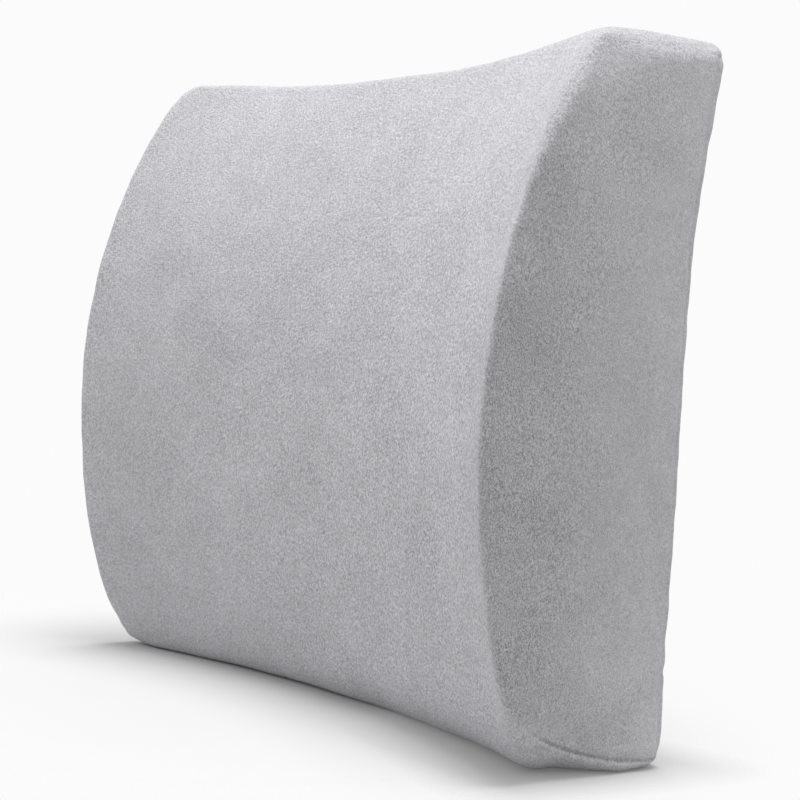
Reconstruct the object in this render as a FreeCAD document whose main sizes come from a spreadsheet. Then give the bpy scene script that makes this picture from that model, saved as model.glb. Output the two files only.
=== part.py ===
import FreeCAD, Part
import math
import os
import Sketcher
from FreeCAD import Vector, Placement, Rotation

# Lumbar support cushion: a saddle-fronted foam pad in a zipped velour cover,
# with an elastic strap and a side-release buckle across its back.
#
# Frame: millimetres, +Z up, the saddle front faces -Y, +X to the right of
# somebody looking at the front. The origin is the centre of the bounding box
# at the level of the flat bottom.

os.makedirs("parts", exist_ok=True)
doc = FreeCAD.newDocument("lumbar_cushion")

# ------------------------------------------------------------------ dimensions
sheet = doc.addObject("Spreadsheet::Sheet", "dims")
DIMS = [
    # outside of the cover
    ("width", 332.0),            # across the back
    ("height", 299.5),
    ("backplane", 48.05),         # y of the flat lower back
    ("axisreach", 469.1247),     # back plane to the axis of the saddle
    ("axisheight", 149.75),
    ("axistilt", 15.0283),        # degrees: the axis leans back at its top
    ("archback", 236.755),      # back plane to the centre of the front's arc
    ("archheight", 122.0851),
    ("archradius", 311.4402),
    ("flarestart", 179.0694),      # height where the back begins to lean back
    ("flareradius", 688.1),
    ("horn", 145.0),             # stock in front of the back plane
    ("roundfront", 18.0),        # front bottom edge
    ("roundedge", 6.5),          # every other edge
    # layers, from outside to inside
    ("velour", 2.0),
    ("layergap", 0.3),
    ("lining", 0.6),
    ("sideflange", 4.0),         # depth of a side panel with its turned rim
    ("backinset", 6.0),          # back panel's seams from top and bottom
    # zip
    ("zipheight", 40.0),
    ("zipslot", 12.4),
    ("zipreach", 145.0),         # half the length of the chain
    ("tapewidth", 15.0),
    ("tapethick", 0.8),
    ("coilwidth", 2.3),
    ("coilthick", 1.7),
    ("coilgap", 1.4),
    ("sliderplace", 132.0),
    ("sliderlength", 11.0),
    ("sliderwidth", 10.0),
    ("pulllength", 26.0),
    ("pullwidth", 7.0),
    # strap
    ("strapheight", 149.0),
    ("strapwidth", 38.0),
    ("strapthick", 1.6),
    ("strapreach", 152.0),       # where the strap is sewn to the back panel
    # buckle
    ("bucklewidth", 50.0),
    ("bucklethick", 10.0),
    ("bucklestand", 1.2),        # back plane to the buckle's underside
]
VAL = {}
for number, (alias, value) in enumerate(DIMS, start=1):
    sheet.set("A%d" % number, alias)
    sheet.set("B%d" % number, repr(value))
    sheet.setAlias("B%d" % number, alias)
    VAL[alias] = value
doc.recompute()
globals_of_sheet = VAL


def val(alias):
    return VAL[alias]


# -------------------------------------------------------------------- helpers
def origin_plane(body, role):
    for feature in body.Origin.OriginFeatures:
        if feature.Role == role:
            return feature
    raise RuntimeError(role)


def new_sketch(body, name, role):
    sk = body.newObject("Sketcher::SketchObject", name)
    sk.AttachmentSupport = [(origin_plane(body, role), "")]
    sk.MapMode = "FlatFace"
    return sk


def line(sk, a, b, construction=False):
    return sk.addGeometry(Part.LineSegment(Vector(a[0], a[1], 0), Vector(b[0], b[1], 0)),
                          construction)


def dim(sk, name, expression, *constraint):
    index = sk.addConstraint(Sketcher.Constraint(*constraint))
    sk.renameConstraint(index, name)
    sk.setExpression("Constraints." + name, expression)
    return index


def join(sk, pairs):
    for a, ea, b, eb in pairs:
        sk.addConstraint(Sketcher.Constraint("Coincident", a, ea, b, eb))


def edge_names(shape, test):
    return ["Edge%d" % (k + 1) for k, e in enumerate(shape.Edges) if test(e)]


# ---------------------------------------------------- one layer of the cushion
def layer(name, inset_expr, inset):
    """The cushion's shape moved inwards by one inset: a block with a back that
    is flat below and leans back above, hollowed in front by a saddle that is
    turned about a tilted axis, with every edge rounded."""
    B, H = val("backplane"), val("height")
    i = inset
    body = doc.addObject("PartDesign::Body", name)
    sk = new_sketch(body, name + "_side", "YZ_Plane")
    F = B - val("horn")
    R = val("flareradius") + i
    cy, cz = B + val("flareradius"), val("flarestart")
    top = H - i
    alpha = math.asin((top - cz) / R)
    g0 = line(sk, (F, i), (B - i, i))
    g1 = line(sk, (B - i, i), (B - i, cz))
    g2 = sk.addGeometry(Part.ArcOfCircle(Part.Circle(Vector(cy, cz, 0), Vector(0, 0, 1), R),
                                         math.pi - alpha, math.pi), False)
    yend = cy - R * math.cos(alpha)
    g3 = line(sk, (yend, top), (F, top))
    g4 = line(sk, (F, top), (F, i))
    join(sk, [(g0, 2, g1, 1), (g2, 1, g3, 1), (g3, 2, g4, 1), (g4, 2, g0, 1)])
    sk.addConstraint(Sketcher.Constraint("Horizontal", g0))
    sk.addConstraint(Sketcher.Constraint("Vertical", g1))
    sk.addConstraint(Sketcher.Constraint("Horizontal", g3))
    sk.addConstraint(Sketcher.Constraint("Vertical", g4))
    sk.addConstraint(Sketcher.Constraint("Tangent", g1, 2, g2, 2))
    if inset:
        dim(sk, "low", inset_expr, "DistanceY", -1, 1, g0, 2, i)
    else:
        sk.addConstraint(Sketcher.Constraint("PointOnObject", g0, 2, -1))
    dim(sk, "back", "dims.backplane - (%s)" % inset_expr, "DistanceX", -1, 1, g0, 2, B - i)
    dim(sk, "flare", "dims.flarestart", "DistanceY", -1, 1, g1, 2, cz)
    dim(sk, "lean", "dims.flareradius + (%s)" % inset_expr, "Radius", g2, R)
    dim(sk, "top", "dims.height - (%s)" % inset_expr, "DistanceY", -1, 1, g3, 1, top)
    dim(sk, "front", "dims.horn - dims.backplane", "DistanceX", g4, 1, -1, 1, -F)
    pad = body.newObject("PartDesign::Pad", name + "_block")
    pad.Profile = sk
    pad.SideType = "Symmetric"
    pad.Length = val("width") - 2 * i
    pad.setExpression("Length", "dims.width - 2 * (%s)" % inset_expr)
    doc.recompute()

    cut = new_sketch(body, name + "_saddle", "YZ_Plane")
    tau = math.radians(val("axistilt"))
    ay, az = B - val("axisreach"), val("axisheight")
    axis = line(cut, (ay, az), (ay + 100 * math.sin(tau), az + 100 * math.cos(tau)), True)
    dim(cut, "reach", "dims.axisreach - dims.backplane", "DistanceX", axis, 1, -1, 1, -ay)
    dim(cut, "rise", "dims.axisheight", "DistanceY", -1, 1, axis, 1, az)
    dim(cut, "tilt", "(90 - dims.axistilt) * 1 deg", "Angle", axis, math.pi / 2 - tau)
    cut.addConstraint(Sketcher.Constraint("Distance", axis, 1, axis, 2, 100.0))
    Ra = val("archradius") - i
    Cy, Cz = B + val("archback"), val("archheight")
    z0, z1 = -25.0, val("height") + 25.0
    a1 = math.pi - math.asin((z1 - Cz) / Ra)
    a0 = math.pi + math.asin((Cz - z0) / Ra)
    arc = cut.addGeometry(Part.ArcOfCircle(Part.Circle(Vector(Cy, Cz, 0), Vector(0, 0, 1), Ra),
                                           a1, a0), False)
    top_y, low_y = Cy + Ra * math.cos(a1), Cy + Ra * math.cos(a0)
    L = B - 175.0
    l0 = line(cut, (low_y, z0), (L, z0))
    l1 = line(cut, (L, z0), (L, z1))
    l2 = line(cut, (L, z1), (top_y, z1))
    join(cut, [(arc, 2, l0, 1), (l0, 2, l1, 1), (l1, 2, l2, 1), (l2, 2, arc, 1)])
    cut.addConstraint(Sketcher.Constraint("Horizontal", l0))
    cut.addConstraint(Sketcher.Constraint("Vertical", l1))
    cut.addConstraint(Sketcher.Constraint("Horizontal", l2))
    dim(cut, "arch", "dims.archradius - (%s)" % inset_expr, "Radius", arc, Ra)
    dim(cut, "archy", "dims.archback + dims.backplane", "DistanceX", -1, 1, arc, 3, Cy)
    dim(cut, "archz", "dims.archheight", "DistanceY", -1, 1, arc, 3, Cz)
    dim(cut, "under", "25", "DistanceY", l0, 2, -1, 1, -z0)
    dim(cut, "over", "dims.height + 25", "DistanceY", -1, 1, l2, 1, z1)
    dim(cut, "clear", "175 - dims.backplane", "DistanceX", l1, 1, -1, 1, -L)
    groove = body.newObject("PartDesign::Groove", name + "_hollow")
    groove.Profile = cut
    groove.ReferenceAxis = (cut, ["Axis0"])
    groove.Angle = 360.0
    doc.recompute()
    if groove.Shape.Volume > 0.8 * pad.Shape.Volume:
        raise RuntimeError("the saddle cut nothing: %g of %g" % (groove.Shape.Volume,
                                                                  pad.Shape.Volume))

    side = val("width") / 2 - i

    def front_bottom(e):
        bb = e.BoundBox
        return bb.ZMax < i + 0.01 and bb.XLength > side and bb.YMax < B - 20

    first = body.newObject("PartDesign::Fillet", name + "_toe")
    first.Base = (groove, edge_names(groove.Shape, front_bottom))
    first.Radius = val("roundfront") - i
    first.setExpression("Radius", "dims.roundfront - (%s)" % inset_expr)
    doc.recompute()

    def rest(e):
        bb = e.BoundBox
        on_side = bb.XLength < 0.01 and abs(abs(bb.Center.x) - side) < 0.01
        on_top = bb.ZLength < 0.01 and abs(bb.Center.z - top) < 0.01
        back_low = bb.ZLength < 0.01 and abs(bb.Center.z - i) < 0.01 and bb.YMin > B - i - 0.1
        return on_side or on_top or back_low

    second = body.newObject("PartDesign::Fillet", name + "_edges")
    second.Base = (first, edge_names(first.Shape, rest))
    second.Radius = val("roundedge") - i
    second.setExpression("Radius", "dims.roundedge - (%s)" % inset_expr)
    doc.recompute()
    return body


V = "dims.velour"
G = "dims.layergap"
N = "dims.lining"
velour, gap, lining = val("velour"), val("layergap"), val("lining")
outer = layer("outer_form", "0", 0.0)
inner = layer("inner_form", V, velour)
liner_out = layer("liner_outer_form", "%s + %s" % (V, G), velour + gap)
liner_in = layer("liner_inner_form", "%s + %s + %s" % (V, G, N), velour + gap + lining)
foam_form = layer("foam_form", "%s + 2 * %s + %s" % (V, G, N), velour + 2 * gap + lining)


def box(name, x, y, z, lx, ly, lz):
    """A block whose corner and sides are expressions in the dimensions."""
    b = doc.addObject("Part::Box", name)
    for prop, ex in (("Length", lx), ("Width", ly), ("Height", lz)):
        b.setExpression(prop, ex)
    for axis, ex in (("x", x), ("y", y), ("z", z)):
        b.setExpression(".Placement.Base." + axis, ex)
    return b


def cyl(name, radius, height, x, y, z, direction=(0, 0, 1)):
    c = doc.addObject("Part::Cylinder", name)
    c.setExpression("Radius", radius)
    c.setExpression("Height", height)
    c.Placement = Placement(Vector(0, 0, 0), Rotation(Vector(0, 0, 1), Vector(*direction)))
    for axis, ex in (("x", x), ("y", y), ("z", z)):
        c.setExpression(".Placement.Base." + axis, ex)
    return c


def cut(name, base, tool):
    o = doc.addObject("Part::Cut", name)
    o.Base, o.Tool = base, tool
    return o


def common(name, base, tool):
    o = doc.addObject("Part::Common", name)
    o.Base, o.Tool = base, tool
    return o


def fuse(name, *shapes):
    o = doc.addObject("Part::MultiFuse", name)
    o.Shapes = list(shapes)
    o.Refine = True
    return o


def rounded(name, base, radius, test):
    """Fillets on the chosen edges of a finished shape."""
    doc.recompute()
    o = doc.addObject("Part::Fillet", name)
    o.Base = base
    o.Edges = [(k + 1, radius, radius) for k, e in enumerate(base.Shape.Edges) if test(e)]
    return o


NODES = []


def node(name, obj):
    obj.Label = name
    NODES.append((name, obj))
    return obj


def along(e, axis):
    """True for a straight edge that runs along one axis."""
    bb = e.BoundBox
    size = {"x": bb.XLength, "y": bb.YLength, "z": bb.ZLength}
    return size.pop(axis) > 1e-3 and max(size.values()) < 1e-3


BACK = "dims.backplane"
ZIP = "dims.zipheight"

# --------------------------------------------------------- channel for the zip
# The slider's inner plate runs in a shallow channel pressed into the lining
# and the foam.
ch_liner = box("channel_liner", "-(dims.zipreach + 7)", BACK + " - 3.9", ZIP + " - 7",
               "2 * dims.zipreach + 14", "10", "14")
ch_liner_in = box("channel_liner_inner", "-(dims.zipreach + 7 + dims.lining)",
                  BACK + " - 3.9 - dims.lining", ZIP + " - 7 - dims.lining",
                  "2 * dims.zipreach + 14 + 2 * dims.lining", "10", "14 + 2 * dims.lining")
ch_foam = box("channel_foam", "-(dims.zipreach + 7 + dims.lining + dims.layergap)",
              BACK + " - 3.9 - dims.lining - dims.layergap",
              ZIP + " - 7 - dims.lining - dims.layergap",
              "2 * (dims.zipreach + 7 + dims.lining + dims.layergap)", "10",
              "14 + 2 * dims.lining + 2 * dims.layergap")

node("foam_core", cut("foam_core_cut", foam_form, ch_foam))
node("inner_liner", cut("inner_liner_cut",
                        cut("liner_skin_outer", liner_out, ch_liner),
                        cut("liner_skin_inner", liner_in, ch_liner_in)))

# ----------------------------------------------------------- the velour cover
shell = cut("cover_shell", outer, inner)
side_r = box("side_right_region", "dims.width / 2 - dims.sideflange", "-200", "-20",
             "40", "400", "dims.height + 40")
side_l = box("side_left_region", "-dims.width / 2 + dims.sideflange - 40", "-200", "-20",
             "40", "400", "dims.height + 40")
node("cover_side_right", common("cover_side_right_cut", shell, side_r))
node("cover_side_left", common("cover_side_left_cut", shell, side_l))
mid_region = box("middle_region", "-dims.width / 2 + dims.sideflange", "-200", "-20",
                 "dims.width - 2 * dims.sideflange", "400", "dims.height + 40")
ring = common("cover_ring", shell, mid_region)
back_region = box("back_region", "-200", BACK + " - 9", "dims.backinset", "400", "60",
                  "dims.height - 2 * dims.backinset")
node("cover_front_wrap", cut("cover_front_wrap_cut", ring, back_region))
back = common("cover_back_panel", ring, back_region)

# the back panel is parted along the zip, and thinned on its inside for the tapes
slot = box("zip_slot", "-dims.zipreach - 1", BACK + " - 9", ZIP + " - dims.zipslot / 2",
           "2 * dims.zipreach + 2", "20", "dims.zipslot")
tapes = box("tape_pocket", "-dims.zipreach - 7", BACK + " - 3", ZIP + " - dims.tapewidth - 1.5",
            "2 * dims.zipreach + 14", "3 - dims.velour + dims.tapethick + 0.1",
            "2 * dims.tapewidth + 3")
above = box("above_zip", "-200", BACK + " - 9", ZIP, "400", "60", "dims.height")
below = box("below_zip", "-200", BACK + " - 9", ZIP + " - 100", "400", "60", "100")
opened = cut("back_panel_open", back, fuse("zip_clearance", slot, tapes))
node("cover_back_upper", common("cover_back_upper_cut", opened, above))
node("cover_back_lower", common("cover_back_lower_cut", opened, below))

# ------------------------------------------------------------------------ zip
TAPE_IN = BACK + " - dims.velour + 0.05"
for which, z in (("upper", ZIP + " + dims.coilgap / 2"),
                 ("lower", ZIP + " - dims.coilgap / 2 - dims.tapewidth")):
    node("zip_tape_" + which, box("tape_" + which, "-dims.zipreach - 6", TAPE_IN, z,
                                  "2 * dims.zipreach + 12", "dims.tapethick", "dims.tapewidth"))
COIL = TAPE_IN + " + dims.tapethick"
for which, z in (("upper", ZIP + " + dims.coilgap / 2"),
                 ("lower", ZIP + " - dims.coilgap / 2 - dims.coilwidth")):
    raw = box("coil_bar_" + which, "-dims.zipreach + 2.4", COIL, z,
              "2 * dims.zipreach - 4.8", "dims.coilthick", "dims.coilwidth")
    node("zip_coil_" + which, rounded("coil_" + which, raw, 0.6,
                                      lambda e: along(e, "x") and e.BoundBox.YMin > val("backplane")))
for which, x in (("start", "-dims.zipreach - 0.8"), ("end", "dims.zipreach - 2.2")):
    raw = box("stop_" + which, x, COIL, ZIP + " - 3.4", "3", "2.4", "6.8")
    node("zip_stop_" + which, rounded("stop_body_" + which, raw, 0.5,
                                      lambda e: e.BoundBox.YMin > val("backplane") + 0.5
                                      and (along(e, "x") or along(e, "z"))))

# slider: outer plate with turned flanges, inner plate, wedge between them and
# an arch that holds the pull
B = val("backplane")
S = "dims.sliderplace"
tape_in = B - val("velour") + 0.05
coil_face = tape_in + val("tapethick") + val("coilthick")      # outside of the coils
plate_y = "dims.backplane - dims.velour + 0.05 + dims.tapethick + dims.coilthick + 0.4"
outer_plate = rounded("slider_outer_round",
                      box("slider_outer", S + " - dims.sliderlength / 2", plate_y,
                          ZIP + " - dims.sliderwidth / 2", "dims.sliderlength", "1.1",
                          "dims.sliderwidth"), 2.2, lambda e: along(e, "y"))
inner_plate = rounded("slider_inner_round",
                      box("slider_inner", S + " - dims.sliderlength / 2",
                          "dims.backplane - dims.velour + 0.05 - 0.4 - 0.8",
                          ZIP + " - dims.sliderwidth / 2", "dims.sliderlength", "0.8",
                          "dims.sliderwidth"), 2.2, lambda e: along(e, "y"))
flange_up = box("slider_flange_up", S + " - dims.sliderlength / 2 + 2.4",
                "dims.backplane - dims.velour + 0.05 + dims.tapethick + 0.4",
                ZIP + " + dims.coilgap / 2 + dims.coilwidth + 0.4",
                "dims.sliderlength - 4.8", "dims.coilthick + 0.2", "1.2")
flange_low = box("slider_flange_low", S + " - dims.sliderlength / 2 + 2.4",
                 "dims.backplane - dims.velour + 0.05 + dims.tapethick + 0.4",
                 ZIP + " - dims.coilgap / 2 - dims.coilwidth - 1.6",
                 "dims.sliderlength - 4.8", "dims.coilthick + 0.2", "1.2")
wedge = box("slider_wedge", S + " + 1", "dims.backplane - dims.velour - 0.6",
            ZIP + " - 0.35", "2.6", "dims.tapethick + dims.coilthick + 1.6", "0.7")
arch_outer = box("slider_arch_outer", S + " - 4.2", plate_y + " + 0.9", ZIP + " - 0.8",
                 "8.4", "3.1", "1.6")
arch_hole = box("slider_arch_hole", S + " - 3.2", plate_y + " + 1.1", ZIP + " - 2",
                "6.4", "2", "4")
arch = cut("slider_arch", rounded("slider_arch_round", arch_outer, 1.4,
                                  lambda e: along(e, "z") and e.BoundBox.YMin > coil_face + 3),
           arch_hole)
node("zip_slider", fuse("slider_body", outer_plate, inner_plate, flange_up, flange_low,
                        wedge, arch))

# pull: a crossbar under the arch, two arms past its leg and a tapered tab
pin_y = plate_y + " + 1.1 + 1.0"
crossbar = cyl("pull_crossbar", "0.6", "6.4", S, pin_y, ZIP + " - 3.2")
arm_up = box("pull_arm_up", S + " - 8", pin_y + " - 0.6", ZIP + " + 1.4", "8", "1.2", "1.8")
arm_low = box("pull_arm_low", S + " - 8", pin_y + " - 0.6", ZIP + " - 3.2", "8", "1.2", "1.8")
tab = rounded("pull_tab_round",
              box("pull_tab", S + " - dims.pulllength", pin_y + " - 0.6",
                  ZIP + " - dims.pullwidth / 2", "dims.pulllength - 6.5", "1.2",
                  "dims.pullwidth"), 2.6, lambda e: along(e, "y"))
eye = cyl("pull_eye", "1.1", "3", S + " - dims.pulllength + 4", pin_y + " - 1.5", ZIP, (0, 1, 0))
node("zip_pull", cut("pull_body", fuse("pull_solid", crossbar, arm_up, arm_low, tab), eye))

# ---------------------------------------------------------------------- strap
STRAP = "dims.strapheight"
sw, st = val("strapwidth"), val("strapthick")
SH = val("strapheight")


def webbing(name, path):
    """Webbing of one thickness along a path of (x, y) points, padded in z.

    The path is the webbing's middle line; the corners are mitred."""
    n = len(path)
    left, right = [], []
    for k, (x, y) in enumerate(path):
        dirs = []
        if k:
            dirs.append((x - path[k - 1][0], y - path[k - 1][1]))
        if k < n - 1:
            dirs.append((path[k + 1][0] - x, path[k + 1][1] - y))
        dirs = [(dx / math.hypot(dx, dy), dy / math.hypot(dx, dy)) for dx, dy in dirs]
        mx = sum(d[0] for d in dirs)
        my = sum(d[1] for d in dirs)
        length = math.hypot(mx, my)
        mx, my = mx / length, my / length
        half = st / 2 / (mx * dirs[0][0] + my * dirs[0][1])
        left.append(Vector(x - my * half, y + mx * half, SH - sw / 2))
        right.append(Vector(x + my * half, y - mx * half, SH - sw / 2))
    wire = Part.makePolygon(left + right[::-1] + left[:1])
    solid = Part.Face(wire).extrude(Vector(0, 0, sw))
    o = doc.addObject("Part::Feature", name)
    o.Shape = solid
    o.Placement = Placement(Vector(0, 0, 0), Rotation())
    return o


flat_y = B + 0.3 + st / 2                       # middle of webbing lying on the back
bar_y = B + val("bucklestand") + val("bucklethick") / 2
loop_r = 2.6 + 0.4 + st / 2                     # round a 5.2 mm bar with clearance


def fold_path(side, bar_x, lie_to, end_to):
    """From the flat run, round the buckle's bar and back to a sewn end."""
    pts = [(side * lie_to, flat_y), (side * (abs(bar_x) + 14), flat_y)]
    start = -math.pi / 2
    pts.append((side * abs(bar_x), bar_y - loop_r))
    for k in range(1, 9):
        a = start - k * math.pi / 8
        pts.append((side * (abs(bar_x) + loop_r * math.cos(a)), bar_y + loop_r * math.sin(a)))
    pts.append((side * (abs(bar_x) + 15.5), flat_y + st + 0.4))
    pts.append((side * end_to, flat_y + st + 0.4))
    return pts


node("strap_left", webbing("strap_left_web", fold_path(-1, 30.5, val("strapreach"), 62)))
node("strap_right_fold", webbing("strap_right_fold_web", fold_path(1, 26.5, 49.5, 58)))
node("strap_right", box("strap_right_web", "50", BACK + " + 0.3", STRAP + " - dims.strapwidth / 2",
                        "dims.strapreach - 50", "dims.strapthick", "dims.strapwidth"))

# --------------------------------------------------------------------- buckle
# The socket is open at its mouth (+X) and has a window in each narrow side;
# its mouth is as wide as the prong heads.
STAND = "dims.backplane + dims.bucklestand"
BT, BW = "dims.bucklethick", "dims.bucklewidth"
mid = val("bucklethick") / 2 + B + val("bucklestand")
sock = rounded("socket_round",
               box("socket_block", "-36", STAND, STRAP + " - dims.bucklewidth / 2",
                   "38", BT, BW), 3.0, lambda e: along(e, "x") or along(e, "y"))
cavity = box("socket_cavity", "-24", STAND + " + 2.0", STRAP + " - 20.2", "40",
             BT + " - 4.0", "40.4")
windows = box("socket_windows", "-22.5", STAND + " + 2.0", STRAP + " - 40", "15.5",
              BT + " - 4.0", "80")
bar_slot = box("socket_bar_slot", "-38", STAND + " - 5", STRAP + " - 20", "14", "30", "40")
bar = cyl("socket_bar", "2.6", "44", "-30.5", STAND + " + dims.bucklethick / 2", STRAP + " - 22")
web_room = box("socket_web_room", "-28", STAND + " - 5", STRAP + " - 20", "4.2", "30", "40")
node("buckle_socket", fuse("socket_body", cut("socket_shell", sock,
     fuse("socket_hollows", cavity, windows, bar_slot)), bar))

plug_block = rounded("plug_round",
                     box("plug_block", "3", STAND, STRAP + " - dims.bucklewidth / 2", "30",
                         BT, BW), 3.0, lambda e: along(e, "x") or along(e, "y"))
plug_slot = box("plug_bar_slot", "19.5", STAND + " - 5", STRAP + " - 20", "20", "30", "40")
plug_bar = cyl("plug_bar", "2.6", "44", "26.5", STAND + " + dims.bucklethick / 2",
               STRAP + " - 22")
tongue = rounded("plug_tongue_round",
                 box("plug_tongue", "-20", STAND + " + 3.0", STRAP + " - 4", "25",
                     BT + " - 6.0", "8"), 1.5, lambda e: along(e, "y") and e.BoundBox.XMin < -19)
seat_up = cyl("plug_seat_up", "2.6", "dims.bucklethick - 3.4", "4.2", STAND + " + 1.7",
              STRAP + " + 15", (0, 1, 0))
seat_low = cyl("plug_seat_low", "2.6", "dims.bucklethick - 3.4", "4.2", STAND + " + 1.7",
               STRAP + " - 15", (0, 1, 0))
mouth_up = box("plug_seat_mouth_up", "2", STAND + " + 1.7", STRAP + " + 12.4", "2.2",
               "dims.bucklethick - 3.4", "5.2")
mouth_low = box("plug_seat_mouth_low", "2", STAND + " + 1.7", STRAP + " - 17.6", "2.2",
                "dims.bucklethick - 3.4", "5.2")
node("buckle_plug", fuse("plug_body", cut("plug_shell", plug_block,
     fuse("plug_hollows", plug_slot, seat_up, seat_low, mouth_up, mouth_low)), plug_bar, tongue))

# prongs: a rounded root in the plug's seat, an arm and a thumb-shaped head
for which, s in (("upper", 1), ("lower", -1)):
    profile = [(4.2, 13.4), (-4.0, 13.0), (-20.8, 14.0), (-22.0, 15.6), (-19.5, 19.6),
               (-12.5, 19.9), (-9.0, 18.4), (-5.5, 16.4), (4.2, 16.6)]
    y0 = B + val("bucklestand") + 2.5
    pts = [Vector(x, y0, SH + s * z) for x, z in profile]
    arm = doc.addObject("Part::Feature", "prong_arm_" + which)
    arm.Shape = Part.Face(Part.makePolygon(pts + pts[:1])).extrude(
        Vector(0, val("bucklethick") - 5.0, 0))
    root = cyl("prong_root_" + which, "2.1", "dims.bucklethick - 5.0", "4.2", STAND + " + 2.5",
               STRAP + " %s 15" % ("+" if s > 0 else "-"), (0, 1, 0))
    node("buckle_prong_" + which, fuse("prong_" + which, arm, root))

# ----------------------------------------------------------------- care label
node("care_label", box("label", "-150", BACK + " + 0.05", "62", "26", "0.35", "38"))

# -------------------------------------------------------------------- check up
doc.recompute()
for o in doc.Objects:
    bad = [s for s in o.State if s in ("Invalid", "Error")]
    if bad:
        raise RuntimeError("%s is %s" % (o.Name, bad))
low = [1e9] * 3
high = [-1e9] * 3
for name, o in NODES:
    shape = o.Shape
    if shape.isNull() or not shape.isValid() or not shape.Solids:
        raise RuntimeError("%s has no valid shape" % name)
    bb = shape.optimalBoundingBox(False) if hasattr(shape, "optimalBoundingBox") else shape.BoundBox
    for k, (a, b) in enumerate(((bb.XMin, bb.XMax), (bb.YMin, bb.YMax), (bb.ZMin, bb.ZMax))):
        low[k], high[k] = min(low[k], a), max(high[k], b)
    print("%-20s solids %d volume %10.1f box %s" % (
        name, len(shape.Solids), shape.Volume,
        " ".join("%.2f" % q for q in (bb.XMin, bb.YMin, bb.ZMin, bb.XMax, bb.YMax, bb.ZMax))))
print("whole", ["%.3f" % q for q in low + high])
for name, o in NODES:
    shape = o.Shape
    if len(shape.Solids) == 1:
        shape = shape.Solids[0]
    shape.exportStep("parts/%s.step" % name)
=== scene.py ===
import math
import bmesh
import bpy
import numpy as np
from mathutils import Matrix, Vector
from mathutils.kdtree import KDTree


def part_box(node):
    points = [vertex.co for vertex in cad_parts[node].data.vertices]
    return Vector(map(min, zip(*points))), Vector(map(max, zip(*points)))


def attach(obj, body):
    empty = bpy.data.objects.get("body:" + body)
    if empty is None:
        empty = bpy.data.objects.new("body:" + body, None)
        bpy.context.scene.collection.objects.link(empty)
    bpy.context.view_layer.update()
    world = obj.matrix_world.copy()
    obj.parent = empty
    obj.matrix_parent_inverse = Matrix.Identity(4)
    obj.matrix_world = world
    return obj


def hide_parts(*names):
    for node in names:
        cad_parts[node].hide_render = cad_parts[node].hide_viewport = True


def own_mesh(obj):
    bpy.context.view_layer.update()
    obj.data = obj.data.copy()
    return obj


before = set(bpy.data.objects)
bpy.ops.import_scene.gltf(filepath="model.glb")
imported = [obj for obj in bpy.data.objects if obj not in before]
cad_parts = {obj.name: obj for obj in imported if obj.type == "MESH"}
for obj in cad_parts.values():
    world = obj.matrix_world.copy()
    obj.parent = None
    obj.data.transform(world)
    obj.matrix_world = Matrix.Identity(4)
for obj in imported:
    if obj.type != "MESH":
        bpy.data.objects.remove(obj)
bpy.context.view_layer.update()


def box_of(node):
    low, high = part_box(node)
    return np.array(low) * 1000.0, np.array(high) * 1000.0


# ----------------------------------------------------------------- the form, mm
W2 = float(box_of("cover_side_right")[1][0])          # half the width
H = float(box_of("cover_front_wrap")[1][2])           # height
B = float(box_of("cover_back_lower")[1][1])           # y of the flat back
SLOT_X = 146.0                                        # half the zip opening
ZIP_Z = 0.5 * float(box_of("zip_coil_upper")[0][2] + box_of("zip_coil_lower")[1][2])
AXIS_Y, AXIS_Z, TILT = B - 469.1247, 149.75, math.radians(15.0283)
ARCH_Y, ARCH_Z, ARCH_R = B + 236.755, 122.0851, 311.4402
FLARE_Z, FLARE_R = 179.0694, 688.1


def smooth(a, b, x):
    t = np.clip((x - a) / (b - a), 0.0, 1.0)
    return t * t * (3 - 2 * t)


def dot(a, b):
    return (a * b).sum(1)


def front_field(P):
    """Signed distance to the saddle and its gradient."""
    x, y, z = P[:, 0], P[:, 1], P[:, 2]
    sn, cs = math.sin(TILT), math.cos(TILT)
    s = (y - AXIS_Y) * sn + (z - AXIS_Z) * cs
    q = (y - AXIS_Y) * cs - (z - AXIS_Z) * sn
    rho = np.sqrt(x * x + q * q)
    sc = (ARCH_Y - AXIS_Y) * sn + (ARCH_Z - AXIS_Z) * cs
    rc = (ARCH_Y - AXIS_Y) * cs - (ARCH_Z - AXIS_Z) * sn
    L = np.sqrt((s - sc) ** 2 + (rho - rc) ** 2)
    gs, gr = (s - sc) / L, (rho - rc) / L
    G = np.stack([gr * x / rho, gs * sn + gr * q / rho * cs, gs * cs - gr * q / rho * sn], 1)
    return L - ARCH_R, G


def back_field(P):
    """Signed distance to the back, flat below and leaning back above."""
    y, z = P[:, 1], P[:, 2]
    d = y - B
    G = np.zeros_like(P)
    G[:, 1] = 1
    up = z > FLARE_Z
    cy = B + FLARE_R
    r = np.hypot(y - cy, z - FLARE_Z)
    d = np.where(up, FLARE_R - r, d)
    G[:, 1] = np.where(up, -(y - cy) / r, 1.0)
    G[:, 2] = np.where(up, -(z - FLARE_Z) / r, 0.0)
    return d, G


def fillet(da, ga, db, gb, r):
    """The common part of two bodies with a rolling-ball edge of radius r."""
    a, b = da + r, db + r
    c = np.clip(dot(ga, gb), -0.95, 0.95)
    s = np.sqrt(1 - c * c)
    wedge = (a > b * c) & (b > a * c) & ((a > 0) | (b > 0)) & (a + b > 0)
    e = np.sqrt(np.maximum(a * a + b * b - 2 * a * b * c, 1e-9)) / s
    G = ((a - b * c)[:, None] * ga + (b - a * c)[:, None] * gb) / (s * s * e)[:, None]
    G /= np.linalg.norm(G, axis=1)[:, None] + 1e-9
    take_a = a >= b
    D = np.where(wedge, e, np.where(take_a, a, b)) - r
    G = np.where(wedge[:, None], G, np.where(take_a[:, None], ga, gb))
    return D, G


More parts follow.
